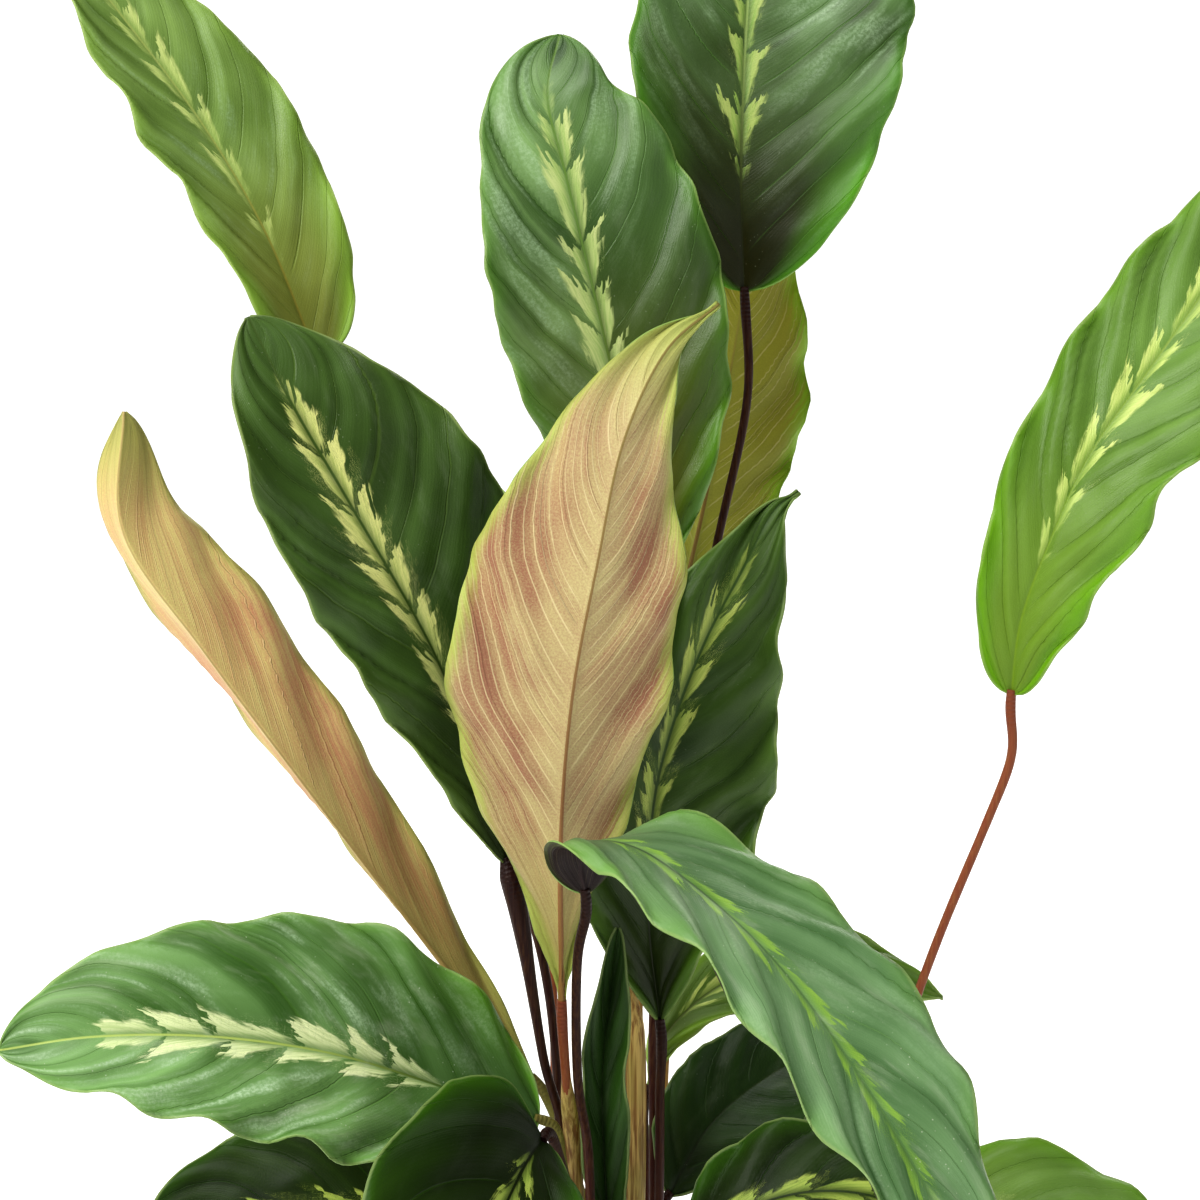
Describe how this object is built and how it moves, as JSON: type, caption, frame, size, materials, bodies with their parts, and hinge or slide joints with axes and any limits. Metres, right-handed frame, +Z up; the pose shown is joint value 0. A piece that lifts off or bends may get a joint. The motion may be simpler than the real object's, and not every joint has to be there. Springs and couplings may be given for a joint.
{
  "type": "potted maui queen prayer plant",
  "caption": "Foliage house plant: broad wavy patterned leaves, each on its own slender stalk, rising from soil in a plain tapered clay pot with a thick rim.",
  "frame": {"origin": "middle of the pot's flat underside", "axes": "+Z up, along the pot's axis; -Y is the plant's front, the side the picture shows; +X is to the right when seen from the front"},
  "size_m": [0.3323, 0.2609, 0.5394],
  "materials": {
    "leaf_dark": "satin, dark green, pale feather pattern along the midrib",
    "leaf_middle": "satin, mid green with a lime base, pale feather pattern",
    "leaf_grey": "glossy grey green, pale feather pattern",
    "leaf_light": "satin, young light green",
    "leaf_tan": "matte underside, tan with rose streaks and a lime margin",
    "leaf_olive": "matte underside, olive with a lime margin",
    "stalk_maroon": "satin, dark maroon",
    "stalk_red": "satin, red brown",
    "stalk_gold": "satin, golden tan",
    "stalk_green": "satin, yellow green",
    "soil": "damp, crumbly, dark brown",
    "clay": "matte unglazed terracotta"
  },
  "bodies": {
    "root": {"leaf_high_left": "leaf_middle", "stalk_high_left": "stalk_maroon", "leaf_high_centre": "leaf_grey", "stalk_high_centre": "stalk_gold", "leaf_centre_underside": "leaf_tan", "stalk_centre_underside": "stalk_red", "leaf_left_centre": "leaf_dark", "stalk_left_centre": "stalk_maroon", "leaf_high_right": "leaf_dark", "stalk_high_right": "stalk_maroon", "leaf_back_right": "leaf_olive", "stalk_back_right": "stalk_gold", "leaf_right_centre": "leaf_dark", "stalk_right_centre": "stalk_maroon", "leaf_front_arching": "leaf_grey", "stalk_front_arching": "stalk_maroon", "leaf_far_right": "leaf_middle", "stalk_far_right": "stalk_red", "leaf_left_rolled": "leaf_tan", "stalk_left_rolled": "stalk_green", "leaf_left_low": "leaf_grey", "stalk_left_low": "stalk_green", "leaf_low_left": "leaf_dark", "stalk_low_left": "stalk_green", "leaf_front_low": "leaf_dark", "stalk_front_low": "stalk_maroon", "leaf_low_right": "leaf_dark", "stalk_low_right": "stalk_maroon", "leaf_low_far_right": "leaf_light", "stalk_low_far_right": "stalk_red", "leaf_right_inner": "leaf_dark", "stalk_right_inner": "stalk_maroon", "leaf_back_right_low": "leaf_middle", "stalk_back_right_low": "stalk_maroon", "leaf_inner_upright": "leaf_dark", "stalk_inner_upright": "stalk_gold", "leaf_front_small": "leaf_grey", "stalk_front_small": "stalk_green", "leaf_back_tall": "leaf_middle", "stalk_back_tall": "stalk_red", "leaf_back_middle": "leaf_dark", "stalk_back_middle": "stalk_gold", "leaf_back_left": "leaf_dark", "stalk_back_left": "stalk_green", "leaf_back_centre": "leaf_middle", "stalk_back_centre": "stalk_maroon", "leaf_back_right_outer": "leaf_dark", "stalk_back_right_outer": "stalk_red", "leaf_side_left": "leaf_middle", "stalk_side_left": "stalk_maroon", "leaf_front_left": "leaf_dark", "stalk_front_left": "stalk_green", "leaf_front_right": "leaf_light", "stalk_front_right": "stalk_maroon", "soil": "soil", "pot": "clay"}
  },
  "joints": []
}
